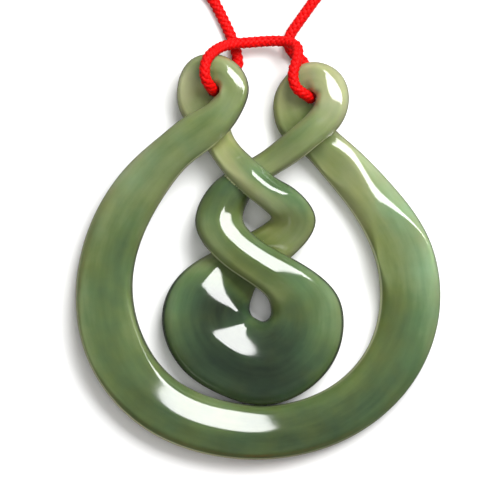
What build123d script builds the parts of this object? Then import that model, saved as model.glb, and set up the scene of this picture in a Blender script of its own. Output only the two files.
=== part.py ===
from build123d import *
import os
from collections import namedtuple
from math import radians, tan

# A twist pendant of polished nephrite: one carved strand that runs as a closed loop through two
# small eyes, an outer ring, a middle twist and a broad lower disc, worn on a braided cord.
# The stone lies on its flat back. +X is to the right of its front, +Y is towards the eyes and
# +Z comes out of the front. The origin is under the middle of the stone, on the surface.

# Driving sizes, in millimetres
pendant_width = 62.1
pendant_length = 68.9
pendant_depth = 11.0
ring_breadth = 9.7
cord_diameter = 1.8
eye_clearance = 0.25
knot_length = 8.0
knot_diameter = 4.2
knot_clearance = 0.12
knot_rounding = 0.8
cord_end_gap = 0.4

# How the strand's oval section is shared out: the height of its widest line, as a share of its
# own depth, and the half breadth of its flat back, as a share of its half breadth
WAIST_SHARE = 0.42
BACK_SHARE = 0.5

# One row for each section of the strand. across and along place its middle, as shares of the
# pendant's width and length. breadth is a share of the ring's breadth. back and crown are the
# heights of its underside and of its top, as shares of the pendant's depth. ridge moves the top
# to the left of the way that the strand runs, as a share of the half breadth. A back below zero
# is ground off flat where the stone rests.
Section = namedtuple("Section", "across along breadth back crown ridge")

# From the top of the left eye, over the first crossing, round the outer ring, and under the
# second crossing to the back of the right eye
RING_ROWS = [
    Section(-0.121, 0.461, 0.52, 0.24, 0.80, 0.0),
    Section(-0.084, 0.446, 0.51, 0.27, 0.87, 0.0),
    Section(-0.066, 0.412, 0.51, 0.31, 0.93, 0.0),
    Section(-0.079, 0.377, 0.52, 0.36, 0.97, 0.0),
    Section(-0.110, 0.343, 0.61, 0.42, 1.00, 0.0),
    Section(-0.162, 0.307, 0.71, 0.44, 0.99, 0.0),
    Section(-0.220, 0.268, 0.71, 0.36, 0.93, 0.0),
    Section(-0.298, 0.198, 0.82, 0.20, 0.80, 0.0),
    Section(-0.374, 0.094, 0.92, 0.06, 0.68, 0.0),
    Section(-0.420, -0.049, 0.98, -0.03, 0.60, 0.0),
    Section(-0.397, -0.213, 1.06, -0.03, 0.58, 0.1),
    Section(-0.278, -0.357, 1.03, -0.03, 0.58, 0.1),
    Section(-0.102, -0.425, 0.99, -0.03, 0.58, 0.1),
    Section(0.064, -0.431, 0.95, -0.03, 0.58, 0.1),
    Section(0.245, -0.373, 0.95, -0.03, 0.58, 0.1),
    Section(0.360, -0.269, 1.01, -0.03, 0.58, 0.0),
    Section(0.414, -0.126, 1.06, -0.03, 0.58, -0.1),
    Section(0.393, 0.020, 1.02, -0.03, 0.57, -0.1),
    Section(0.307, 0.148, 0.85, -0.03, 0.54, -0.1),
    Section(0.215, 0.241, 0.75, -0.03, 0.50, 0.0),
    Section(0.148, 0.301, 0.73, -0.03, 0.47, 0.0),
    Section(0.096, 0.342, 0.66, -0.02, 0.47, 0.0),
    Section(0.082, 0.386, 0.54, 0.04, 0.53, 0.0),
    Section(0.101, 0.423, 0.48, 0.15, 0.64, 0.0),
    Section(0.122, 0.438, 0.50, 0.20, 0.70, 0.0),
]

# From the top of the right eye, over the second crossing, under the third, over the fourth and
# down the right side of the lower disc
TWIST_ROWS = [
    Section(0.149, 0.442, 0.52, 0.24, 0.76, 0.0),
    Section(0.190, 0.422, 0.55, 0.28, 0.86, 0.0),
    Section(0.202, 0.383, 0.57, 0.33, 0.94, 0.0),
    Section(0.188, 0.345, 0.55, 0.39, 0.98, 0.0),
    Section(0.150, 0.313, 0.54, 0.43, 1.00, 0.0),
    Section(0.097, 0.273, 0.53, 0.37, 0.94, 0.0),
    Section(0.031, 0.233, 0.47, 0.19, 0.74, 0.0),
    Section(-0.038, 0.190, 0.55, -0.02, 0.50, 0.0),
    Section(-0.087, 0.142, 0.72, 0.00, 0.56, 0.0),
    Section(-0.107, 0.086, 0.84, 0.14, 0.72, 0.0),
    Section(-0.073, 0.032, 0.77, 0.32, 0.91, 0.1),
    Section(-0.017, -0.008, 0.74, 0.42, 1.00, 0.1),
    Section(0.044, -0.043, 0.79, 0.34, 0.97, 0.1),
    Section(0.093, -0.085, 1.04, 0.16, 0.87, 0.0),
    Section(0.128, -0.138, 1.29, 0.02, 0.77, 0.0),
    Section(0.117, -0.204, 1.37, -0.03, 0.71, 0.0),
    Section(0.071, -0.252, 1.41, -0.03, 0.69, 0.0),
]

# From the bottom of the lower disc, under the fourth crossing, over the third and under the
# first, to the back of the left eye
DISC_ROWS = [
    Section(0.012, -0.267, 1.43, -0.03, 0.68, 0.0),
    Section(-0.058, -0.249, 1.43, -0.03, 0.68, 0.0),
    Section(-0.119, -0.210, 1.55, -0.03, 0.66, 0.0),
    Section(-0.141, -0.151, 1.60, -0.03, 0.63, 0.0),
    Section(-0.123, -0.093, 1.39, -0.03, 0.58, 0.0),
    Section(-0.080, -0.044, 1.05, -0.03, 0.50, 0.0),
    Section(-0.034, -0.010, 0.86, -0.03, 0.46, 0.0),
    Section(0.019, 0.020, 0.78, -0.03, 0.47, 0.0),
    Section(0.068, 0.053, 0.76, 0.04, 0.54, 0.0),
    Section(0.093, 0.090, 0.79, 0.17, 0.69, 0.0),
    Section(0.069, 0.127, 0.66, 0.31, 0.85, 0.0),
    Section(0.028, 0.157, 0.58, 0.41, 0.95, 0.0),
    Section(-0.015, 0.188, 0.56, 0.44, 0.98, 0.0),
    Section(-0.063, 0.230, 0.55, 0.24, 0.78, 0.0),
    Section(-0.108, 0.287, 0.53, 0.00, 0.52, 0.0),
    Section(-0.143, 0.338, 0.57, -0.03, 0.47, 0.0),
    Section(-0.174, 0.381, 0.58, -0.01, 0.51, 0.0),
    Section(-0.180, 0.425, 0.55, 0.08, 0.62, 0.0),
    Section(-0.161, 0.453, 0.56, 0.17, 0.72, 0.0),
]

# The middles of the two eyes, as shares of the pendant's width and length
LEFT_EYE = (-0.123, 0.409)
RIGHT_EYE = (0.142, 0.391)

strand_rows = RING_ROWS + TWIST_ROWS + DISC_ROWS


def middle_of(row):
    """The middle of a section, on the surface under the stone."""
    return Vector(row.across * pendant_width, row.along * pendant_length, 0)


def section_plane(index):
    """The upright plane across the strand at one row, square to the way that the strand runs."""
    here = middle_of(strand_rows[index])
    step_in = here - middle_of(strand_rows[index - 1])
    step_out = middle_of(strand_rows[(index + 1) % len(strand_rows)]) - here
    heading = step_in * (step_out.length / step_in.length) + step_out * (step_in.length / step_out.length)
    to_the_left = Vector(-heading.Y, heading.X, 0)
    return Plane(origin=here, x_dir=to_the_left, z_dir=heading)


def draw_section(row):
    """The strand's oval: a flat back, two rounded flanks, and a crown of two quarter ellipses."""
    half = row.breadth * ring_breadth / 2
    back = row.back * pendant_depth
    crown = row.crown * pendant_depth
    waist = back + WAIST_SHARE * (crown - back)
    flat = BACK_SHARE * half
    top = row.ridge * half
    EllipticalCenterArc((top, waist), half - top, crown - waist, 0)
    EllipticalCenterArc((top, waist), half + top, crown - waist, 90)
    EllipticalCenterArc((-flat, waist), half - flat, waist - back, 180)
    Line((-flat, back), (flat, back))
    EllipticalCenterArc((flat, waist), half - flat, waist - back, 270)


def loft_strand(first, last):
    """One stretch of the strand, lofted through the sections from the first row to the last."""
    with BuildPart() as stretch:
        for index in range(first, last + 1):
            row_number = index % len(strand_rows)
            with BuildSketch(section_plane(row_number)):
                with BuildLine():
                    draw_section(strand_rows[row_number])
                make_face()
        loft()
    return stretch.part


# The three stretches of the strand, none of which crosses itself
right_eye_row = len(RING_ROWS)
disc_row = right_eye_row + len(TWIST_ROWS)
ring_stretch = loft_strand(0, right_eye_row)
twist_stretch = loft_strand(right_eye_row, disc_row)
disc_stretch = loft_strand(disc_row, len(strand_rows))

# The stone: the stretches as one solid, with a way for the cord drilled through each eye and
# the back ground flat
eye_hole_radius = cord_diameter / 2 + eye_clearance
left_eye = Vector(LEFT_EYE[0] * pendant_width, LEFT_EYE[1] * pendant_length, 0)
right_eye = Vector(RIGHT_EYE[0] * pendant_width, RIGHT_EYE[1] * pendant_length, 0)
with BuildPart() as jade_twist:
    add(ring_stretch)
    add(twist_stretch)
    add(disc_stretch)
    with BuildSketch(Plane.XY.offset(-pendant_depth)):
        with Locations((left_eye.X, left_eye.Y), (right_eye.X, right_eye.Y)):
            Circle(eye_hole_radius)
    extrude(amount=3 * pendant_depth, mode=Mode.SUBTRACT)
    split(bisect_by=Plane.XY, keep=Keep.TOP)
jade_twist.part.label = "jade_twist"

# The cord's route. It starts inside the closing knot, lies on the surface round the left of the
# stone, passes behind the left eye and up through it, over to the right eye, down through that
# one and out behind it, and comes back round the right of the stone to the knot.
lying = cord_diameter / 2
knot_middle = Vector(0, -47.6, knot_diameter / 2)
CORD_ROUTE = [
    (-cord_end_gap / 2, knot_middle.Y, knot_middle.Z),
    (-5.4, knot_middle.Y, knot_middle.Z),
    (-10.8, -47.4, 1.2),
    (-18.5, -48.1, lying),
    (-28.5, -48.7, lying),
    (-38.6, -48.2, lying),
    (-46.9, -45.0, lying),
    (-50.7, -37.4, lying),
    (-51.0, -27.0, lying),
    (-49.6, -16.0, lying),
    (-48.8, -4.5, lying),
    (-49.4, 7.5, lying),
    (-50.5, 19.0, lying),
    (-51.2, 30.0, lying),
    (-50.6, 40.6, lying),
    (-46.6, 48.4, lying),
    (-38.4, 51.7, lying),
    (-28.4, 51.8, lying),
    (-19.0, 50.5, lying),
    (-12.3, 48.2, lying),
    (-8.1, 44.6, lying),
    (-6.2, 40.9, lying),
    (-4.55, 37.4, lying),
    (-3.65, 34.6, lying),
    (-3.35, 31.9, lying),
    (left_eye.X, left_eye.Y, lying),
    (left_eye.X, left_eye.Y, 8.2),
    (-9.15, 30.05, 10.6),
    (-9.05, 33.0, 10.2),
    (-7.5, 34.95, 8.0),
    (-5.2, 36.1, 4.8),
    (-1.5, 36.45, 3.1),
    (2.3, 36.75, 3.1),
    (5.1, 36.6, 3.7),
    (6.8, 35.6, 5.6),
    (6.6, 33.4, 7.8),
    (5.7, 31.1, 9.0),
    (6.15, 28.4, 9.3),
    (right_eye.X, right_eye.Y, 7.6),
    (right_eye.X, right_eye.Y, lying),
    (8.4, 32.95, lying),
    (5.3, 34.95, lying),
    (5.05, 37.5, lying),
    (7.1, 40.3, lying),
    (9.85, 44.2, lying),
    (13.0, 47.9, lying),
    (19.3, 50.6, lying),
    (28.6, 51.6, lying),
    (38.0, 50.7, lying),
    (45.3, 46.6, lying),
    (48.1, 38.0, lying),
    (48.5, 27.0, lying),
    (47.5, 15.5, lying),
    (46.9, 4.0, lying),
    (47.6, -7.5, lying),
    (48.7, -18.5, lying),
    (48.9, -29.0, lying),
    (47.6, -39.0, lying),
    (42.9, -46.0, lying),
    (34.0, -48.9, lying),
    (25.0, -48.8, lying),
    (17.6, -48.1, lying),
    (10.8, -47.3, 1.2),
    (5.4, knot_middle.Y, knot_middle.Z),
    (cord_end_gap / 2, knot_middle.Y, knot_middle.Z),
]

# An arc takes this share of the shorter of the two runs that it joins
ARC_SHARE = 0.45

route = [Vector(*point) for point in CORD_ROUTE]
runs = [end - start for start, end in zip(route, route[1:])]
bends = []
for run_in, run_out in zip(runs, runs[1:]):
    half_turn = radians(run_in.get_angle(run_out)) / 2
    bends.append(ARC_SHARE * min(run_in.length, run_out.length) / tan(half_turn))

with BuildPart() as neck_cord:
    with BuildLine() as cord_path:
        FilletPolyline(*route, radius=bends)
    with BuildSketch(Plane(origin=cord_path.line @ 0, z_dir=cord_path.line % 0)):
        Circle(cord_diameter / 2)
    sweep()
neck_cord.part.label = "neck_cord"

# The closing knot: a plain barrel round the two ends of the cord
with BuildPart() as closing_knot:
    with BuildSketch(Plane.YZ):
        with Locations((knot_middle.Y, knot_middle.Z)):
            Circle(knot_diameter / 2)
            Circle(cord_diameter / 2 + knot_clearance, mode=Mode.SUBTRACT)
    extrude(amount=knot_length / 2, both=True)
    rims = closing_knot.edges().filter_by(GeomType.CIRCLE).group_by(SortBy.RADIUS)[-1]
    fillet(rims, knot_rounding)
closing_knot.part.label = "closing_knot"

os.makedirs("parts", exist_ok=True)
for piece in (jade_twist, neck_cord, closing_knot):
    export_step(piece.part, f"parts/{piece.part.label}.step")

cord_length = cord_path.wire().length
cord_section = neck_cord.part.volume / cord_length
print("cord length", round(cord_length, 1), "volume by length", round(cord_section, 4))
print("cord bend radii", [round(bend, 1) for bend in bends])
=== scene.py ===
import math
from collections import namedtuple

import bmesh
import bpy
import numpy as np
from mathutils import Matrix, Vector
from mathutils.kdtree import KDTree


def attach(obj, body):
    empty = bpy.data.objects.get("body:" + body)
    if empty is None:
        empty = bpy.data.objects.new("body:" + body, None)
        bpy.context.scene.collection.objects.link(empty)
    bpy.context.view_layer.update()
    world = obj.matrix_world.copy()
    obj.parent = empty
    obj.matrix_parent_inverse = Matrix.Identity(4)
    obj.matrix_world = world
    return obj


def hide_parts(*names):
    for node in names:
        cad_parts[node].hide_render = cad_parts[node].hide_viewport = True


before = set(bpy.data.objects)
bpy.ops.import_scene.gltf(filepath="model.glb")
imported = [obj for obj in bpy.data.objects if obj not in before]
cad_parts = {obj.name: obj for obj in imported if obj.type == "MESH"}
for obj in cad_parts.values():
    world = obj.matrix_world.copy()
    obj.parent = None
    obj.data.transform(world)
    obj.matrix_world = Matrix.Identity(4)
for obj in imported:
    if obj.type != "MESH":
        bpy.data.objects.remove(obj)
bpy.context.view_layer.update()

# The camera
# The photograph looks straight down on the pendant, which lies on its flat back. The camera stands
# high above it with a long lens, so that the stone's near and far parts keep their real sizes.
view_side = 0.085
view_middle = Vector((-0.00144, 0.00113, 0.004))
camera_height = 0.90
film_width = 36.0
camera_data = bpy.data.cameras.new("camera_above")
camera_data.sensor_width = film_width
camera_data.lens = film_width * camera_height / view_side
camera_data.clip_start = 0.01
camera_data.clip_end = 10.0
camera = bpy.data.objects.new("camera_above", camera_data)
camera.location = view_middle + Vector((0, 0, camera_height))
bpy.context.scene.collection.objects.link(camera)
bpy.context.scene.camera = camera

# The neck cord
# A limp braid of eight flat yarns of red nylon, 1.8 mm thick. It passes behind and up through the
# left eye, across to the right eye and down through it, and both ends meet in the knot below.
pendant_width = 0.0621
pendant_length = 0.0689
left_eye = Vector((-0.123 * pendant_width, 0.409 * pendant_length))
right_eye = Vector((0.142 * pendant_width, 0.391 * pendant_length))
cord_diameter = 0.0018
cord_end_gap = 0.0004
lying = cord_diameter / 2
knot_middle = Vector((0, -0.0476, 0.0021))
cord_route = [
    (-cord_end_gap / 2, knot_middle.y, knot_middle.z),
    (-0.0054, knot_middle.y, knot_middle.z),
    (-0.0108, -0.0474, 0.0012),
    (-0.0185, -0.0481, lying),
    (-0.0285, -0.0487, lying),
    (-0.0386, -0.0482, lying),
    (-0.0469, -0.045, lying),
    (-0.0507, -0.0374, lying),
    (-0.051, -0.027, lying),
    (-0.0496, -0.016, lying),
    (-0.0488, -0.0045, lying),
    (-0.0494, 0.0075, lying),
    (-0.0505, 0.019, lying),
    (-0.0512, 0.03, lying),
    (-0.0506, 0.0406, lying),
    (-0.0466, 0.0484, lying),
    (-0.0384, 0.0517, lying),
    (-0.0284, 0.0518, lying),
    (-0.019, 0.0505, lying),
    (-0.0123, 0.0482, lying),
    (-0.0081, 0.0446, lying),
    (-0.0062, 0.0409, lying),
    (-0.00455, 0.0374, lying),
    (-0.00365, 0.0346, lying),
    (-0.00335, 0.0319, lying),
    (left_eye.x, left_eye.y, lying),
    (left_eye.x, left_eye.y, 0.0082),
    (-0.00915, 0.03005, 0.0106),
    (-0.00905, 0.033, 0.0102),
    (-0.0075, 0.03495, 0.008),
    (-0.0052, 0.0361, 0.0048),
    (-0.0015, 0.03645, 0.0031),
    (0.0023, 0.03675, 0.0031),
    (0.0051, 0.0366, 0.0037),
    (0.0068, 0.0356, 0.0056),
    (0.0066, 0.0334, 0.0078),
    (0.0057, 0.0311, 0.009),
    (0.00615, 0.0284, 0.0093),
    (right_eye.x, right_eye.y, 0.0076),
    (right_eye.x, right_eye.y, lying),
    (0.0084, 0.03295, lying),
    (0.0053, 0.03495, lying),
    (0.00505, 0.0375, lying),
    (0.0071, 0.0403, lying),
    (0.00985, 0.0442, lying),
    (0.013, 0.0479, lying),
    (0.0193, 0.0506, lying),
    (0.0286, 0.0516, lying),
    (0.038, 0.0507, lying),
    (0.0453, 0.0466, lying),
    (0.0481, 0.038, lying),
    (0.0485, 0.027, lying),
    (0.0475, 0.0155, lying),
    (0.0469, 0.004, lying),
    (0.0476, -0.0075, lying),
    (0.0487, -0.0185, lying),
    (0.0489, -0.029, lying),
    (0.0476, -0.039, lying),
    (0.0429, -0.046, lying),
    (0.034, -0.0489, lying),
    (0.025, -0.0488, lying),
    (0.0176, -0.0481, lying),
    (0.0108, -0.0473, 0.0012),
    (0.0054, knot_middle.y, knot_middle.z),
    (cord_end_gap / 2, knot_middle.y, knot_middle.z),
]

# The cord's own line: a smooth spline that the route's points guide
line_data = bpy.data.curves.new("neck_cord_line", "CURVE")
line_data.dimensions = "3D"
line_data.resolution_u = 20
spline = line_data.splines.new("NURBS")
spline.points.add(len(cord_route) - 1)
for point, place in zip(spline.points, cord_route):
    point.co = (*place, 1.0)
spline.order_u = 3
spline.use_endpoint_u = True
line = bpy.data.objects.new("neck_cord_line", line_data)
bpy.context.scene.collection.objects.link(line)


def evaluated(thing):
    """The mesh that an object's curve or modifiers make, as plain data."""
    return bpy.data.meshes.new_from_object(thing.evaluated_get(bpy.context.evaluated_depsgraph_get()))


def length_along(path):
    return sum((end - start).length for start, end in zip(path, path[1:]))


line_mesh = evaluated(line)
cord_path = [vertex.co.copy() for vertex in line_mesh.vertices]


class Link:
    """A socket of a node tree. Sums, differences, products and quotients of links add Math nodes."""

    def __init__(self, tree, socket=None):
        self.tree = tree
        self.socket = socket

    def node(self, kind, settings=None, values=None, output=0):
        """A new node's output. Its settings are made first, then its values and links."""
        made = self.tree.nodes.new(kind)
        for name, setting in (settings or {}).items():
            if name == "stops":
                ramp = made.color_ramp
                while len(ramp.elements) < len(setting):
                    ramp.elements.new(0.5)
                for stop, (place, colour) in zip(ramp.elements, setting):
                    stop.position = place
                    stop.color = colour
            else:
                setattr(made, name, setting)
        for place, value in (values or {}).items():
            if isinstance(value, Link):
                self.tree.links.new(value.socket, made.inputs[place])
            else:
                made.inputs[place].default_value = value
        return Link(self.tree, made.outputs[output])

    def output(self, name):
        """Another output of the node that this link comes from."""
        return Link(self.tree, self.socket.node.outputs[name])

    def maths(self, operation, *values):
        return self.node("ShaderNodeMath", {"operation": operation}, dict(enumerate(values)))

    def vector(self, operation, *values):
        return self.node("ShaderNodeVectorMath", {"operation": operation}, dict(enumerate(values)))

    def __add__(self, other):
        return self.maths("ADD", self, other)

    def __radd__(self, other):
        return self.maths("ADD", other, self)

    def __sub__(self, other):
        return self.maths("SUBTRACT", self, other)

    def __rsub__(self, other):
        return self.maths("SUBTRACT", other, self)

    def __mul__(self, other):
        return self.maths("MULTIPLY", self, other)

    def __rmul__(self, other):
        return self.maths("MULTIPLY", other, self)

    def __truediv__(self, other):
        return self.maths("DIVIDE", self, other)

    def __rtruediv__(self, other):
        return self.maths("DIVIDE", other, self)

    def scaled(self, amount):
        """This vector times a number, or times a number's link."""
        return self.node("ShaderNodeVectorMath", {"operation": "SCALE"}, {"Vector": self, "Scale": amount})

    def within(self, lowest, highest):
        """This number, held between two others."""
        return self.node("ShaderNodeClamp", None, {"Value": self, "Min": lowest, "Max": highest})

    def step(self, low, high):
        """0 below low, 1 above high, and a smooth rise between them."""
        return self.node(
            "ShaderNodeMapRange",
            {"interpolation_type": "SMOOTHSTEP", "clamp": True},
            {"Value": self, "From Min": low, "From Max": high},
        )

    def mixed(self, first, second):
        """The colour first where this link is 0, and second where it is 1."""
        made = self.tree.nodes.new("ShaderNodeMix")
        made.data_type = "RGBA"
        self.tree.links.new(self.socket, made.inputs["Factor"])
        for place, value in ((6, first), (7, second)):
            if isinstance(value, Link):
                self.tree.links.new(value.socket, made.inputs[place])
            else:
                made.inputs[place].default_value = value
        return Link(self.tree, made.outputs[2])


# How a yarn lies in the braid, all as shares of the cord's diameter: how far from the cord's
# middle it runs, how far it dips and rises as it crosses the others, and its own half thickness
# and half breadth. A plain core fills the space inside the yarns.
LAY_RADIUS = 0.36
WEAVE_RISE = 0.055
YARN_HALF_THICKNESS = 0.145
YARN_HALF_BREADTH = 0.225
CORE_RADIUS = 0.29
CORE_STEP = 0.5
CORE_SIDES = 7
YARNS_EACH_WAY = 4
YARN_SIDES = 6
STEPS_PER_PITCH = 16


def braid_tree():
    """A tree that braids a hollow cord of flat yarns, over one and under one, along a line."""
    tree = bpy.data.node_groups.new("braiding_machine", "GeometryNodeTree")
    for name, kind in (
        ("Geometry", "NodeSocketGeometry"),
        ("Diameter", "NodeSocketFloat"),
        ("Pitch", "NodeSocketFloat"),
        ("Yarns Each Way", "NodeSocketInt"),
        ("Steps", "NodeSocketInt"),
        ("Yarn Sides", "NodeSocketInt"),
        ("Yarn", "NodeSocketMaterial"),
    ):
        tree.interface.new_socket(name, in_out="INPUT", socket_type=kind)
    tree.interface.new_socket("Geometry", in_out="OUTPUT", socket_type="NodeSocketGeometry")
    link = Link(tree)
    given = link.node("NodeGroupInput")
    diameter = given.output("Diameter")
    pairs = given.output("Yarns Each Way")
    guide = link.node(
        "GeometryNodeSetCurveNormal",
        {"mode": "MINIMUM_TWIST"},
        {"Curve": link.node("GeometryNodeMeshToCurve", None, {"Mesh": given.output("Geometry")})},
    )
    length = link.node("GeometryNodeCurveLength", None, {"Curve": guide})

    # One straight yarn, numbered copies of it, and each copy's place round the cord
    yarn = link.node(
        "GeometryNodeMeshCylinder",
        {"fill_type": "TRIANGLE_FAN"},
        {
            "Vertices": given.output("Yarn Sides"),
            "Side Segments": given.output("Steps"),
            "Fill Segments": 1,
            "Radius": 1.0,
            "Depth": 1.0,
        },
    )
    mapped = link.node(
        "GeometryNodeStoreNamedAttribute",
        {"data_type": "FLOAT2", "domain": "CORNER"},
        {"Geometry": yarn, "Name": "UVMap", "Value": yarn.output("UV Map")},
    )
    yarns = link.node(
        "GeometryNodeDuplicateElements",
        {"domain": "INSTANCE"},
        {"Geometry": link.node("GeometryNodeGeometryToInstance", None, {0: mapped}), "Amount": pairs * 2.0},
    )
    numbered = link.node(
        "GeometryNodeStoreNamedAttribute",
        {"data_type": "INT", "domain": "INSTANCE"},
        {"Geometry": yarns, "Name": "yarn_number", "Value": yarns.output("Duplicate Index")},
    )
    loose = link.node("GeometryNodeRealizeInstances", None, {"Geometry": numbered})
    number = link.node(
        "GeometryNodeInputNamedAttribute", {"data_type": "INT"}, {"Name": "yarn_number"}, "Attribute"
    )

    # The first half of the yarns winds one way round, and the second half the other way
    way = 1.0 - 2.0 * link.maths("FLOOR", (number + 0.5) / pairs)
    share = link.node("ShaderNodeSeparateXYZ", None, {"Vector": link.node("GeometryNodeInputPosition")})
    run = (share.output("Z") + 0.5) * length
    turn_rate = 2 * math.pi / given.output("Pitch")
    angle = way * run * turn_rate + link.maths("MODULO", number, pairs) * (2 * math.pi) / pairs
    weave = way * link.maths("COSINE", run * turn_rate * pairs)
    lay_radius = diameter * LAY_RADIUS
    reach = lay_radius + diameter * WEAVE_RISE * weave
    place = link.node(
        "GeometryNodeSampleCurve",
        {"mode": "LENGTH", "use_all_curves": True},
        {"Curves": guide, "Length": run},
        "Position",
    )
    tangent = place.output("Tangent")
    normal = place.output("Normal")
    across = link.vector("CROSS_PRODUCT", tangent, normal)
    cosine = link.maths("COSINE", angle)
    sine = link.maths("SINE", angle)
    outward = link.vector("ADD", normal.scaled(cosine), across.scaled(sine))
    sideways = link.vector("SUBTRACT", across.scaled(cosine), normal.scaled(sine))

    # A yarn's breadth lies square to its own slanting run, not to the cord's
    slant = link.maths("ARCTANGENT", lay_radius * turn_rate)
    broad = link.vector(
        "SUBTRACT",
        sideways.scaled(link.maths("COSINE", slant)),
        tangent.scaled(way * link.maths("SINE", slant)),
    )
    offset = link.vector(
        "ADD",
        outward.scaled(reach + share.output("Y") * diameter * YARN_HALF_THICKNESS),
        broad.scaled(share.output("X") * diameter * YARN_HALF_BREADTH),
    )
    braided = link.node(
        "GeometryNodeSetPosition", None, {"Geometry": loose, "Position": link.vector("ADD", place, offset)}
    )
    unnumbered = link.node(
        "GeometryNodeRemoveAttribute", None, {"Geometry": braided, "Name": "yarn_number"}
    )
    core = link.node(
        "GeometryNodeCurveToMesh",
        None,
        {
            "Curve": link.node(
                "GeometryNodeResampleCurve",
                {"mode": "LENGTH"},
                {"Curve": guide, "Length": diameter * CORE_STEP},
            ),
            "Profile Curve": link.node(
                "GeometryNodeCurvePrimitiveCircle",
                None,
                {"Resolution": CORE_SIDES, "Radius": diameter * CORE_RADIUS},
            ),
            "Fill Caps": True,
        },
    )
    joined = tree.nodes.new("GeometryNodeJoinGeometry")
    tree.links.new(unnumbered.socket, joined.inputs[0])
    tree.links.new(core.socket, joined.inputs[0])
    smooth = link.node("GeometryNodeSetShadeSmooth", None, {"Geometry": Link(tree, joined.outputs[0])})
    real = link.node("GeometryNodeRealizeInstances", None, {"Geometry": smooth})
    finished = link.node(
        "GeometryNodeSetMaterial", None, {"Geometry": real, "Material": given.output("Yarn")}
    )
    end = tree.nodes.new("NodeGroupOutput")
    tree.links.new(finished.socket, end.inputs[0])
    return tree


def linear(red, green, blue):
    """A colour given as it looks on a screen, 0 to 255, in the renderer's own numbers."""
    shares = [value / 255 for value in (red, green, blue)]
    plain = [share / 12.92 if share <= 0.04045 else ((share + 0.055) / 1.055) ** 2.4 for share in shares]
    return (*plain, 1.0)


def red_nylon():
    """Dyed nylon yarn: fine parallel filaments with a soft sheen, and duller patches of dye."""
    bright_red = linear(220, 8, 5)
    plain_red = linear(200, 0, 2)
    dull_red = linear(165, 0, 2)
    dullest = 0.35
    smoothest = 0.42
    roughening = 0.2
    material = bpy.data.materials.new("red_nylon_braid")
    material.use_nodes = True
    tree = material.node_tree
    shader = tree.nodes["Principled BSDF"]
    link = Link(tree)
    yarn_map = link.node("ShaderNodeUVMap", {"uv_map": "UVMap"})
    drawn_out = link.node("ShaderNodeMapping", None, {"Vector": yarn_map, "Scale": (22.0, 160.0, 1.0)})
    filaments = link.node("ShaderNodeTexNoise", None, {"Vector": drawn_out, "Scale": 1.0, "Detail": 2.0})
    placed = link.node("ShaderNodeTexCoord", None, None, "Object")
    patches = link.node("ShaderNodeTexNoise", None, {"Vector": placed, "Scale": 420.0, "Detail": 2.0})
    colour = filaments.step(0.3, 0.7).mixed(plain_red, bright_red)
    colour = (patches.step(0.35, 0.75) * dullest).mixed(colour, dull_red)
    tree.links.new(colour.socket, shader.inputs["Base Color"])
    tree.links.new((smoothest + roughening * filaments).socket, shader.inputs["Roughness"])
    bump = link.node("ShaderNodeBump", None, {"Strength": 0.5, "Distance": 0.00006, "Height": filaments})
    tree.links.new(bump.socket, shader.inputs["Normal"])
    shader.inputs["Specular IOR Level"].default_value = 0.15
    shader.inputs["Subsurface Weight"].default_value = 0.15
    shader.inputs["Subsurface Radius"].default_value = (1.0, 0.2, 0.1)
    shader.inputs["Subsurface Scale"].default_value = 0.0004
    return material


braiding_machine = braid_tree()
nylon = red_nylon()


def braided_along(name, guide_mesh, length, diameter, pitch):
    """A plain mesh of cord braided along a line's mesh. pitch is one yarn's whole turn."""
    cord = bpy.data.objects.new(name, guide_mesh)
    bpy.context.scene.collection.objects.link(cord)
    braiding = cord.modifiers.new("braiding", "NODES")
    braiding.node_group = braiding_machine
    inputs = {
        "Diameter": diameter,
        "Pitch": pitch,
        "Yarns Each Way": YARNS_EACH_WAY,
        "Steps": round(length / pitch * STEPS_PER_PITCH),
        "Yarn Sides": YARN_SIDES,
        "Yarn": nylon,
    }
    for item in braiding_machine.interface.items_tree:
        if item.item_type == "SOCKET" and item.in_out == "INPUT" and item.name in inputs:
            braiding[item.identifier] = inputs[item.name]
    made = evaluated(cord)
    cord.modifiers.remove(braiding)
    made.name = name
    cord.data = made
    return cord


cord_pitch = 0.0040
neck_cord = braided_along("neck_cord_braid", line_mesh, length_along(cord_path), cord_diameter, cord_pitch)
bpy.data.objects.remove(line)

# The closing knot
# The cord's two ends meet inside a tight whipping of thinner red cord, laid out below the pendant.
# The neck cord is attached to the root here, after its knot.
whipping_width = 0.0078
whipping_diameter = 0.00112
whipping_pitch = 0.0024
whipping_radius = 0.00150
WHIPPING_TURNS = 6.5
STEPS_PER_TURN = 36
whipping_steps = int(WHIPPING_TURNS * STEPS_PER_TURN)
whipping_points = []
for step in range(whipping_steps + 1):
    turned = 2 * math.pi * step / STEPS_PER_TURN
    share = step / whipping_steps - 0.5
    whipping_points.append((
        knot_middle.x + share * (whipping_width - whipping_diameter),
        knot_middle.y + whipping_radius * math.cos(turned),
        knot_middle.z + whipping_radius * math.sin(turned),
    ))
whipping_line = bpy.data.meshes.new("whipping_line")
whipping_line.from_pydata(whipping_points, [(step, step + 1) for step in range(whipping_steps)], [])
whipping_length = 2 * math.pi * whipping_radius * WHIPPING_TURNS
knot = braided_along(
    "closing_knot_whipping", whipping_line, whipping_length, whipping_diameter, whipping_pitch
)
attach(knot, "root")
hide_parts("closing_knot")

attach(neck_cord, "root")
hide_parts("neck_cord")

# The jade twist
# One strand of polished nephrite that runs as a closed loop through two eyes, a ring, a twist and
# a lower disc. It is carved from a flat slice, so its back is flat and its crossings are solid.
pendant_depth = 0.0110
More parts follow.
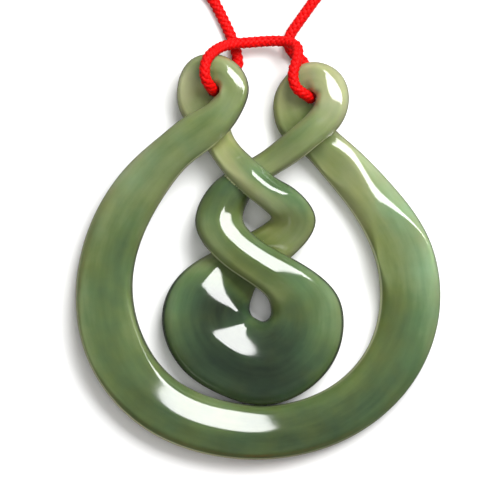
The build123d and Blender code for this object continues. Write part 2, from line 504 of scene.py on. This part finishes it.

# Each row is a cut across the strand, with its left and right as they are on the way along it. The
# edges are shares of the pendant's width and length. back and crown are the heights of the
# underside and the top, as shares of the depth, and a back below zero is ground off flat. ridge
# moves the ridge to the left, as a share of the half breadth. slope is how steeply the two faces
# fall from the ridge, and rounding is the share of each half in which the face rounds over.
# The other columns are the stone's look at its left and right. dark is 0 where the stone is pale
# and 1 where it is darkest; it holds the stone's own tone together with painted shade, as under the
# crossings, and painted light on faces turned from the lamp. warm is yellowish above zero and bluish
# below; it holds the stone's own tint together with a painted bluish reflection of the room on outer
# faces. rim is a painted pale glow along the edge above zero, and a painted dark outline below.
Cut = namedtuple(
    "Cut",
    "left_across left_along right_across right_along back crown ridge slope rounding "
    "left_dark right_dark left_warm right_warm left_rim right_rim",
)

# From the top of the left eye, over the first crossing, round the outer ring, and under the
# second crossing to the back of the right eye
RING_CUTS = [
    Cut(-0.117,  0.499, -0.124,  0.420,  0.24, 0.84,  0.0, 0.20, 0.50,  0.28,  0.30,  0.4,  0.4, -0.3,  0.0),
    Cut(-0.056,  0.473, -0.115,  0.417,  0.27, 0.90,  0.0, 0.30, 0.60,  0.24,  0.20,  0.1,  0.1, -0.6,  0.0),
    Cut(-0.026,  0.414, -0.111,  0.409,  0.31, 0.93,  0.0, 0.12, 0.32,  0.32,  0.22,  0.1,  0.1, -0.8,  0.0),
    Cut(-0.043,  0.360, -0.117,  0.398,  0.36, 0.96,  0.0, 0.12, 0.50,  0.34,  0.26,  0.2,  0.1, -0.7,  0.0),
    Cut(-0.076,  0.313, -0.144,  0.373,  0.42, 1.00,  0.0, 0.30, 0.55,  0.28,  0.34,  0.2,  0.2, -0.4,  0.0),
    Cut(-0.129,  0.267, -0.196,  0.347,  0.44, 0.99,  0.0, 0.26, 0.60,  0.38,  0.44,  0.2,  0.2,  0.7,  0.0),
    Cut(-0.184,  0.230, -0.256,  0.306,  0.36, 0.93,  0.0, 0.20, 0.65,  0.34,  0.40,  0.2, -0.1,  0.8,  0.0),
    Cut(-0.249,  0.161, -0.347,  0.235,  0.20, 0.80,  0.0, 0.16, 0.65,  0.32,  0.30,  0.3, -0.2,  0.4,  0.0),
    Cut(-0.309,  0.066, -0.439,  0.122,  0.06, 0.68,  0.0, 0.14, 0.65,  0.50,  0.36,  0.2,  0.1, -0.3,  0.2),
    Cut(-0.344, -0.055, -0.497, -0.043, -0.03, 0.60,  0.0, 0.14, 0.35,  0.56,  0.42,  0.1,  0.1, -0.5,  0.5),
    Cut(-0.321, -0.186, -0.475, -0.240, -0.03, 0.60,  0.1, 0.16, 0.15,  0.50,  0.54,  0.1,  0.1, -0.6,  0.6),
    Cut(-0.230, -0.301, -0.329, -0.415, -0.03, 0.60, -0.1, 0.26, 0.35,  0.62,  0.62,  0.1,  0.2, -0.3,  0.8),
    Cut(-0.086, -0.357, -0.118, -0.493, -0.03, 0.58, -0.1, 0.34, 0.35,  0.62,  0.66,  0.1,  0.2,  0.2,  0.7),
    Cut( 0.054, -0.365,  0.074, -0.497, -0.03, 0.56, -0.1, 0.32, 0.35,  0.64,  0.68,  0.2,  0.2,  0.2,  0.5),
    Cut( 0.204, -0.317,  0.286, -0.429, -0.03, 0.55,  0.1, 0.24, 0.55,  0.62,  0.66,  0.3,  0.0,  0.3,  0.3),
    Cut( 0.294, -0.232,  0.427, -0.307, -0.03, 0.56,  0.0, 0.20, 0.60,  0.54,  0.64,  0.4, -0.2,  0.5,  0.0),
    Cut( 0.332, -0.119,  0.497, -0.133, -0.03, 0.56,  0.1, 0.16, 0.60,  0.56,  0.36,  0.5, -0.4,  0.8, -0.2),
    Cut( 0.318, -0.004,  0.468,  0.044, -0.03, 0.55,  0.1, 0.00, 0.15,  0.38,  0.22, 0.45, -0.5,  0.9, -0.3),
    Cut( 0.254,  0.112,  0.360,  0.184, -0.03, 0.59,  0.0, 0.27, 0.80,  0.22,  0.20,  0.5, -0.5,  0.8, -0.3),
    Cut( 0.173,  0.204,  0.257,  0.277, -0.03, 0.54, -0.4, 0.40, 0.20,  0.20,  0.10,  0.4, -0.3,  0.6, -0.3),
    Cut( 0.109,  0.263,  0.187,  0.339, -0.03, 0.47,  0.0, 0.25, 0.40,  0.44,  0.40,  0.4,  0.3,  0.2, -0.2),
    Cut( 0.052,  0.317,  0.163,  0.377, -0.02, 0.47,  0.0, 0.15, 0.35,  0.40,  0.30,  0.5,  0.4,  0.0,  0.0),
    Cut( 0.042,  0.390,  0.144,  0.382,  0.04, 0.53,  0.0, 0.12, 0.35,  0.08,  0.04,  0.4,  0.3,  0.0,  0.0),
    Cut( 0.074,  0.445,  0.132,  0.398,  0.15, 0.64,  0.0, 0.15, 0.35,  0.20,  0.16,  0.2,  0.2,  0.0,  0.0),
    Cut( 0.107,  0.470,  0.139,  0.402,  0.20, 0.70,  0.0, 0.25, 0.45,  0.12,  0.10,  0.1,  0.1,  0.0,  0.0),
]

# From the top of the right eye, over the second crossing, under the third and over the fourth
TWIST_CUTS = [
    Cut( 0.154,  0.480,  0.145,  0.401,  0.24, 0.79, -0.2, 0.05, 0.50,  0.06,  0.06,  0.1,  0.1,  0.0,  0.0),
    Cut( 0.226,  0.448,  0.152,  0.396,  0.28, 0.88, -0.2, 0.30, 0.60,  0.02,  0.02,  0.1,  0.1, -0.2,  0.0),
    Cut( 0.247,  0.382,  0.154,  0.385,  0.33, 0.92, -0.2, 0.10, 0.50,  0.04,  0.04,  0.1,  0.1, -0.4,  0.0),
    Cut( 0.225,  0.325,  0.148,  0.369,  0.39, 0.94, -0.1, 0.10, 0.60,  0.16,  0.16,  0.1,  0.1, -0.2,  0.2),
    Cut( 0.178,  0.285,  0.122,  0.341,  0.43, 0.98,  0.0, 0.30, 0.50,  0.26,  0.34,  0.2,  0.2,  0.6,  0.2),
    Cut( 0.122,  0.244,  0.072,  0.303,  0.37, 0.94,  0.0, 0.30, 0.50,  0.20,  0.36,  0.2,  0.2,  0.9,  0.0),
    Cut( 0.052,  0.204,  0.010,  0.259,  0.19, 0.74,  0.0, 0.30, 0.50,  0.14,  0.24,  0.3,  0.2,  0.8, -0.3),
    Cut(-0.009,  0.161, -0.067,  0.219, -0.02, 0.72,  0.0, 0.25, 0.50,  0.44,  0.42,  0.0, -0.4,  0.2,  0.0),
    Cut(-0.038,  0.117, -0.138,  0.167,  0.00, 0.75,  0.0, 0.40, 0.70,  0.64,  0.62,  0.4,  0.1,  0.0, -0.4),
    Cut(-0.042,  0.091, -0.173,  0.081,  0.14, 0.81,  0.0, 0.30, 0.45,  0.56,  0.46,  0.2,  0.1, -0.2, -0.4),
    Cut(-0.027,  0.067, -0.118, -0.002,  0.32, 0.89,  0.0, 0.36, 0.42,  0.52,  0.42,  0.1,  0.3, -0.5,  0.7),
    Cut( 0.017,  0.034, -0.051, -0.049,  0.42, 0.95,  0.0, 0.38, 0.40,  0.60,  0.48,  0.0,  0.5, -0.6,  0.8),
    Cut( 0.082,  0.001,  0.006, -0.085,  0.34, 0.92,  0.0, 0.34, 0.40,  0.60,  0.50,  0.0,  0.5, -0.6,  0.8),
]

# Round the lower disc, under the fourth crossing, over the third and under the first, to the back
# of the left eye
DISC_CUTS = [
    Cut( 0.159, -0.041,  0.028, -0.109,  0.17, 0.84,  0.0, 0.22, 0.40,  0.48,  0.42, -0.4,  0.5, -0.7,  0.3),
    Cut( 0.218, -0.098,  0.033, -0.128,  0.05, 0.79,  0.0, 0.26, 0.38,  0.42,  0.54, -0.3,  0.4, -0.8,  0.0),
    Cut( 0.234, -0.166,  0.033, -0.143, -0.02, 0.73,  0.0, 0.24, 0.36,  0.42,  0.62, -0.2,  0.3, -0.8,  0.0),
    Cut( 0.214, -0.246,  0.027, -0.153, -0.03, 0.71,  0.0, 0.24, 0.36,  0.58,  0.74,  0.0,  0.1, -0.8, -0.3),
    Cut( 0.132, -0.331,  0.017, -0.159, -0.03, 0.70,  0.0, 0.26, 0.36,  0.80,  0.86,  0.0,  0.0, -0.6, -0.3),
    Cut( 0.015, -0.367,  0.007, -0.159, -0.03, 0.70,  0.0, 0.28, 0.36,  0.94,  0.88,  0.0,  0.0, -0.4, -0.3),
    Cut(-0.104, -0.341, -0.003, -0.155, -0.03, 0.68,  0.0, 0.30, 0.36,  0.94,  0.84,  0.0,  0.0, -0.4, -0.3),
    Cut(-0.213, -0.274, -0.014, -0.149, -0.03, 0.66,  0.0, 0.30, 0.36,  0.80,  0.82,  0.0,  0.0, -0.6, -0.3),
    Cut(-0.265, -0.156, -0.021, -0.140, -0.03, 0.65,  0.2, 0.12, 0.36,  0.56,  0.94, -0.2,  0.0, -0.9, -0.3),
    Cut(-0.221, -0.050, -0.024, -0.122, -0.03, 0.60,  0.2, 0.13, 0.60,  0.62,  0.92, -0.3,  0.1, -0.7, -0.3),
    Cut(-0.139,  0.005, -0.017, -0.098, -0.03, 0.49,  0.4, 0.20, 0.60,  0.38,  0.46,  0.0,  0.2, -0.3,  0.0),
    Cut(-0.073,  0.037,  0.004, -0.060, -0.03, 0.45,  0.3, 0.20, 0.40,  0.58,  0.60,  0.1,  0.2,  0.0,  0.0),
    Cut(-0.015,  0.064,  0.054, -0.025, -0.03, 0.47,  0.0, 0.20, 0.45,  0.62,  0.48,  0.6,  0.7,  0.0,  0.0),
    Cut( 0.023,  0.085,  0.113,  0.018,  0.04, 0.54,  0.0, 0.24, 0.50,  0.22,  0.28,  0.8,  0.4,  0.0, -0.4),
    Cut( 0.034,  0.095,  0.157,  0.092,  0.17, 0.75,  0.0, 0.28, 0.50,  0.12,  0.44,  0.3,  0.3,  0.0, -0.8),
    Cut( 0.029,  0.104,  0.110,  0.159,  0.31, 0.91, -0.1, 0.30, 0.50,  0.18,  0.50,  0.1, -0.3,  0.0, -0.8),
    Cut( 0.000,  0.126,  0.057,  0.189,  0.41, 0.96,  0.0, 0.10, 0.95,  0.12,  0.58,  0.1, -0.4,  0.6, -0.5),
    Cut(-0.044,  0.158,  0.014,  0.218,  0.44, 0.97,  0.0, 0.10, 0.95,  0.03,  0.44,  0.3, -0.4,  0.8, -0.2),
    Cut(-0.095,  0.205, -0.031,  0.255,  0.24, 0.83,  0.0, 0.26, 0.45, -0.12,  0.30,  0.4,  0.0,  0.8, -0.3),
    Cut(-0.142,  0.266, -0.074,  0.308,  0.00, 0.52,  0.0, 0.24, 0.45, -0.20,  0.06,  0.7,  0.6,  0.3,  0.0),
    Cut(-0.182,  0.315, -0.089,  0.369, -0.03, 0.47,  0.0, 0.20, 0.40,  0.04,  0.04,  0.4,  0.4,  0.0,  0.0),
    Cut(-0.218,  0.365, -0.113,  0.404, -0.01, 0.51,  0.0, 0.14, 0.30,  0.10,  0.10,  0.2,  0.2, -0.2,  0.0),
    Cut(-0.219,  0.435, -0.135,  0.414,  0.08, 0.62,  0.0, 0.14, 0.30, -0.10, -0.10,  0.1,  0.1, -0.2,  0.0),
    Cut(-0.186,  0.485, -0.132,  0.418,  0.17, 0.72,  0.0, 0.22, 0.40,  0.18,  0.18,  0.1,  0.1, -0.2,  0.0),
]

cuts = np.array(RING_CUTS + TWIST_CUTS + DISC_CUTS, float)
cuts[:, [0, 2]] *= pendant_width
cuts[:, [1, 3]] *= pendant_length
cuts[:, [4, 5]] *= pendant_depth


def closed_spline(knots, spans, count):
    """A smooth closed line through the knots, as count rows that lie evenly along it.

    spans holds each knot's distance to the next one. Each stretch between two knots is a cubic,
    and the bends at the knots are those with which the stretches meet smoothly.
    """
    total = len(knots)
    before = np.roll(spans, 1)
    slopes = (np.roll(knots, -1, axis=0) - knots) / spans[:, None]
    system = np.zeros((total, total))
    for row in range(total):
        system[row, row] = 2 * (before[row] + spans[row])
        system[row, (row - 1) % total] += before[row]
        system[row, (row + 1) % total] += spans[row]
    bends = np.linalg.solve(system, 6 * (slopes - np.roll(slopes, 1, axis=0)))
    starts = np.concatenate([[0], np.cumsum(spans)])
    places = np.linspace(0, starts[-1], count, endpoint=False)
    found = np.clip(np.searchsorted(starts, places, side="right") - 1, 0, total - 1)
    after = (found + 1) % total
    span = spans[found][:, None]
    ahead = (places - starts[found])[:, None]
    behind = span - ahead
    return (
        (bends[found] * behind**3 + bends[after] * ahead**3) / (6 * span)
        + (knots[found] / span - bends[found] * span / 6) * behind
        + (knots[after] / span - bends[after] * span / 6) * ahead
    )


STATIONS = 640
cut_middles = (cuts[:, 0:2] + cuts[:, 2:4]) / 2
spans = np.linalg.norm(np.roll(cut_middles, -1, axis=0) - cut_middles, axis=1)
stations = closed_spline(cuts, spans, STATIONS)
left = stations[:, 0:2]
right = stations[:, 2:4]
middle = (left + right) / 2
half = np.linalg.norm(left - right, axis=1) / 2
to_the_left = (left - right) / (2 * half[:, None])
back, crown, ridge, slope, rounding = (stations[:, column] for column in range(4, 9))

# The outline of a cut, all the way round: the crown from the left edge to the right, the right
# flank of the underside, the flat back, and the left flank. The widest line lies at a share of
# the cut's own depth, and the flat back takes a share of its breadth. The two faces meet in a
# ridge that is a little soft, and FACE_POWER and EDGE_POWER say how late and how fully each face
# rounds over to its edge.
WAIST_SHARE = 0.42
BACK_SHARE = 0.5
FACE_POWER = 2.4
EDGE_POWER = 0.45
CROWN_STEPS = 56
FLANK_STEPS = 8
BACK_PLACES = (-0.5, 0.0, 0.5)
ridge_softness = 0.0005
waist = back + WAIST_SHARE * (crown - back)
outline = []
for angle in np.linspace(0, math.pi, CROWN_STEPS + 1):
    side = math.cos(angle)
    offset = half * side
    drop = slope * (np.hypot(offset - ridge * half, ridge_softness) - ridge_softness)
    past_face = np.clip((abs(side) - 1) / rounding + 1, 0, 1)
    outline.append((offset, waist + (crown - waist - drop) * (1 - past_face**FACE_POWER) ** EDGE_POWER))
for angle in np.linspace(0, math.pi / 2, FLANK_STEPS + 1)[1:]:
    offset = -half * (BACK_SHARE + (1 - BACK_SHARE) * math.cos(angle))
    outline.append((offset, waist - (waist - back) * math.sin(angle)))
for place in BACK_PLACES:
    outline.append((half * BACK_SHARE * place, back))
for angle in np.linspace(math.pi / 2, 0, FLANK_STEPS + 1)[:-1]:
    offset = half * (BACK_SHARE + (1 - BACK_SHARE) * math.cos(angle))
    outline.append((offset, waist - (waist - back) * math.sin(angle)))

# The strand's skin: the outline's points at every station, and a closed tube of faces on them
around = len(outline)
points = np.zeros((STATIONS, around, 3))
across = np.zeros((STATIONS, around))
for number, (offset, height) in enumerate(outline):
    points[:, number, 0:2] = middle + to_the_left * offset[:, None]
    points[:, number, 2] = height
    across[:, number] = offset / half
faces = []
for station in range(STATIONS):
    ahead = (station + 1) % STATIONS
    for number in range(around):
        other = (number + 1) % around
        faces.append((
            station * around + number,
            station * around + other,
            ahead * around + other,
            ahead * around + number,
        ))
strand_mesh = bpy.data.meshes.new("jade_twist_stone")
strand_mesh.from_pydata(points.reshape(-1, 3).tolist(), [], faces)
stone = bpy.data.objects.new("jade_twist_stone", strand_mesh)
bpy.context.scene.collection.objects.link(stone)

# The back is ground flat and the two eyes are drilled in one cut, which also joins the strand to
# itself where it crosses
eye_hole_radius = 0.00102
DRILL_SIDES = 48
drill_length = 0.03
drill_middle = 0.0137
slab_side = 0.1
slab_depth = 0.004
cutting = bmesh.new()
bmesh.ops.create_cube(cutting, size=1.0)
for vertex in cutting.verts:
    vertex.co = Vector((
        vertex.co.x * slab_side,
        vertex.co.y * slab_side,
        vertex.co.z * slab_depth - slab_depth / 2,
    ))
for eye in (left_eye, right_eye):
    drill = bmesh.ops.create_cone(
        cutting,
        cap_ends=True,
        segments=DRILL_SIDES,
        radius1=eye_hole_radius,
        radius2=eye_hole_radius,
        depth=drill_length,
    )
    bmesh.ops.translate(cutting, verts=drill["verts"], vec=(eye.x, eye.y, drill_middle))
cutter_mesh = bpy.data.meshes.new("grinding_and_drilling")
cutting.to_mesh(cutter_mesh)
cutting.free()
cutter = bpy.data.objects.new("grinding_and_drilling", cutter_mesh)
bpy.context.scene.collection.objects.link(cutter)
carving = stone.modifiers.new("carving", "BOOLEAN")
carving.operation = "DIFFERENCE"
carving.solver = "EXACT"
carving.use_self = True
carving.object = cutter
carved_mesh = evaluated(stone)
stone.modifiers.remove(carving)
stone.data = carved_mesh
bpy.data.objects.remove(cutter)

# Polishing: smooth all over, and crisp only where the strand meets itself and round the back
crisp_from = math.radians(38)
carved_mesh.polygons.foreach_set("use_smooth", [True] * len(carved_mesh.polygons))
carved_mesh.set_sharp_from_angle(angle=crisp_from)

# The stone's look at each of its points, from the nearest point of the strand's skin. The left
# face changes to the right one quickly at the ridge, so each face keeps its own tone and its own
# painted shade or painted reflection. The thin edges are painted lighter, a glow where light would
# come through, and the thick middle gets a little painted shade. A painted rim of light or dark
# starts at one share of the half breadth and is full at another.
FACE_CONTRAST = 2.8
PAINTED_EDGE_GLOW = 0.25
PAINTED_GLOW_POWER = 3
PAINTED_MIDDLE_SHADE = 0.03
PAINTED_RIM_START = 0.91
PAINTED_RIM_FULL = 0.95
skin = KDTree(STATIONS * around)
for index, place in enumerate(points.reshape(-1, 3)):
    skin.insert(place, index)
skin.balance()
nearest = [skin.find(vertex.co)[1] for vertex in carved_mesh.vertices]
left_dark_with_painted_light, right_dark_with_painted_light, left_warm_with_painted_reflection, right_warm_with_painted_reflection, left_painted_rim, right_painted_rim = (
    stations[:, column, None] for column in range(9, 15)
)
leftness = (1 + np.tanh(FACE_CONTRAST * (across - ridge[:, None]))) / 2
painted_edge_glow = PAINTED_EDGE_GLOW * np.abs(across) ** PAINTED_GLOW_POWER - PAINTED_MIDDLE_SHADE
near_painted_rim = np.clip((np.abs(across) - PAINTED_RIM_START) / (PAINTED_RIM_FULL - PAINTED_RIM_START), 0, 1)
for name, values in (
    ("dark", right_dark_with_painted_light + (left_dark_with_painted_light - right_dark_with_painted_light) * leftness - painted_edge_glow),
    ("warm", right_warm_with_painted_reflection + (left_warm_with_painted_reflection - right_warm_with_painted_reflection) * leftness),
    ("rim", np.where(across > 0, left_painted_rim, right_painted_rim) * near_painted_rim),
):
    attribute = carved_mesh.attributes.new(name, "FLOAT", "POINT")
    attribute.data.foreach_set("value", values.reshape(-1)[nearest].astype(np.float32))

# The stone's fibres run along the strand. So each point also keeps its place along it, wound round
# a circle that is as long as the strand, and its distance from the strand's middle.
turned = 2 * math.pi * np.arange(STATIONS) / STATIONS
circle = np.sum(spans) / (2 * math.pi)
grain = np.zeros((STATIONS, around, 3))
grain[:, :, 0] = (circle * np.cos(turned))[:, None]
grain[:, :, 1] = (circle * np.sin(turned))[:, None]
grain[:, :, 2] = across * half[:, None]
attribute = carved_mesh.attributes.new("grain", "FLOAT_VECTOR", "POINT")
attribute.data.foreach_set("vector", grain.reshape(-1, 3)[nearest].reshape(-1).astype(np.float32))


def polished_jade():
    """Green nephrite: waxy and a little see-through, cloudy inside, with a glassy polish."""
    grey_green = [
        (0.0, linear(178, 183, 143)),
        (0.2, linear(152, 155, 118)),
        (0.4, linear(121, 134, 92)),
        (0.6, linear(86, 106, 66)),
        (0.8, linear(56, 75, 50)),
        (1.0, linear(27, 40, 27)),
    ]
    yellow_green = [(0.2, linear(150, 156, 96)), (0.6, linear(100, 108, 50)), (1.0, linear(42, 47, 22))]
    blue_green = [(0.2, linear(146, 176, 138)), (0.6, linear(74, 108, 76)), (1.0, linear(20, 42, 34))]
    painted_glow_rim = linear(228, 232, 188)
    painted_dark_rim = linear(22, 34, 22)
    pale_place = 0.2
    cloud_strength = 0.35
    wisp_strength = 0.15
    fibre_strength = 0.25
    tint_strength = 1.2
    painted_rim_strength = 0.8
    smoothest = 0.07
    dulling = 0.05
    material = bpy.data.materials.new("polished_nephrite")
    material.use_nodes = True
    tree = material.node_tree
    shader = tree.nodes["Principled BSDF"]
    link = Link(tree)
    # The stone's tone with its painted shade and painted light, its tint with a painted reflection, and its
    # painted rims
    dark, warm, rim = (
        link.node("ShaderNodeAttribute", {"attribute_name": name}, None, "Fac")
        for name in ("dark", "warm", "rim")
    )

    # Soft clouds, small wisps, fibres drawn out along the strand, and patches of another tint
    placed = link.node("ShaderNodeTexCoord", None, None, "Object")
    clouds = link.node(
        "ShaderNodeTexNoise", None, {"Vector": placed, "Scale": 85.0, "Detail": 3.0, "Roughness": 0.5}
    )
    wisps = link.node(
        "ShaderNodeTexNoise", None, {"Vector": placed, "Scale": 260.0, "Detail": 4.0, "Roughness": 0.6}
    )
    patches = link.node("ShaderNodeTexNoise", None, {"Vector": placed, "Scale": 190.0, "Detail": 3.0})
    along_it = link.node("ShaderNodeAttribute", {"attribute_name": "grain"}, None, "Vector")
    drawn_out = link.node("ShaderNodeMapping", None, {"Vector": along_it, "Scale": (1.0, 1.0, 7.0)})
    fibres = link.node("ShaderNodeTexNoise", None, {"Vector": drawn_out, "Scale": 110.0, "Detail": 3.0})

    # Pale stone has its place a little way up the colours, so its clouds can be paler than it
    clouded_with_painted_light = (
        dark
        + (clouds - 0.5) * cloud_strength
        + (wisps - 0.5) * wisp_strength
        + (fibres - 0.5) * fibre_strength
    )
    depth = pale_place + (1 - pale_place) * clouded_with_painted_light
    tint = warm + (patches - 0.5) * tint_strength
    colour, yellow, blue = (
        link.node("ShaderNodeValToRGB", {"stops": stops}, {"Fac": depth})
        for stops in (grey_green, yellow_green, blue_green)
    )
    # Yellow and blue tints: the stone's own, and on the outer faces a painted bluish reflection of the room
    colour = tint.within(0.0, 1.0).mixed(colour, yellow)
    colour = (0.0 - tint).within(0.0, 1.0).mixed(colour, blue)
    # Painted rims: a pale painted glow along thin edges turned from the lamp, and a painted dark outline
    # along edges facing it
    colour = (rim.step(0.0, 1.0) * painted_rim_strength).mixed(colour, painted_glow_rim)
    colour = ((0.0 - rim).step(0.0, 1.0) * painted_rim_strength).mixed(colour, painted_dark_rim)
    tree.links.new(colour.socket, shader.inputs["Base Color"])

    # The polish is even, and only the wisps dull it a little
    tree.links.new((smoothest + dulling * wisps).socket, shader.inputs["Roughness"])
    bump = link.node("ShaderNodeBump", None, {"Strength": 0.06, "Distance": 0.0003, "Height": clouds})
    tree.links.new(bump.socket, shader.inputs["Normal"])
    shader.inputs["IOR"].default_value = 1.6
    shader.inputs["Subsurface Weight"].default_value = 0.7
    shader.inputs["Subsurface Radius"].default_value = (0.8, 1.0, 0.55)
    shader.inputs["Subsurface Scale"].default_value = 0.0022
    return material


carved_mesh.materials.clear()
carved_mesh.materials.append(polished_jade())
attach(stone, "root")
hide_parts("jade_twist")

# The table and the lights
# The pendant lies on plain white paper, which isn't mirrored in its polish. One large softbox to
# the upper right makes the highlights. A weaker one straight above only fills the shadows, and the
# dim room all round is a little brighter above.
table_reach = 4
table_corners = [(x * table_reach, y * table_reach, 0) for x, y in ((-1, -1), (1, -1), (1, 1), (-1, 1))]
table_mesh = bpy.data.meshes.new("white_table")
table_mesh.from_pydata(table_corners, [], [(0, 1, 2, 3)])
table = bpy.data.objects.new("white_table", table_mesh)
bpy.context.scene.collection.objects.link(table)
table.visible_glossy = False
paper = bpy.data.materials.new("white_paper")
paper.use_nodes = True
paper_shader = paper.node_tree.nodes["Principled BSDF"]
paper_shader.inputs["Base Color"].default_value = (0.9, 0.9, 0.9, 1.0)
paper_shader.inputs["Roughness"].default_value = 0.8
table_mesh.materials.append(paper)


def softbox(name, azimuth, zenith, distance, width, height, power):
    """A rectangular lamp that faces the pendant. azimuth is counted from +Y towards +X."""
    lamp_data = bpy.data.lights.new(name, "AREA")
    lamp_data.shape = "RECTANGLE"
    lamp_data.size = width
    lamp_data.size_y = height
    lamp_data.energy = power
    lamp = bpy.data.objects.new(name, lamp_data)
    turned = math.radians(azimuth)
    tilted = math.radians(zenith)
    sideways = math.sin(tilted)
    away = Vector((math.sin(turned) * sideways, math.cos(turned) * sideways, math.cos(tilted)))
    lamp.location = away * distance
    lamp.rotation_mode = "QUATERNION"
    lamp.rotation_quaternion = away.to_track_quat("Z", "Y")
    lamp.visible_camera = False
    bpy.context.scene.collection.objects.link(lamp)
    return lamp


softbox("main_softbox", azimuth=36, zenith=36, distance=0.60, width=0.42, height=0.28, power=5.8)
fill = softbox("overhead_fill", azimuth=0, zenith=0, distance=0.60, width=0.40, height=0.40, power=1.0)
fill.visible_glossy = False
dimmest = 0.10
brightening = 0.15
world = bpy.data.worlds.new("studio")
world.use_nodes = True
room = Link(world.node_tree)
upward = room.node("ShaderNodeSeparateXYZ", None, {"Vector": room.node("ShaderNodeTexCoord")}).output("Z")
background = world.node_tree.nodes["Background"]
background.inputs["Color"].default_value = (1.0, 1.0, 1.0, 1.0)
brightness = dimmest + brightening * upward.step(0.1, 0.6)
world.node_tree.links.new(brightness.socket, background.inputs["Strength"])
bpy.context.scene.world = world
bpy.context.scene.view_settings.view_transform = "Standard"
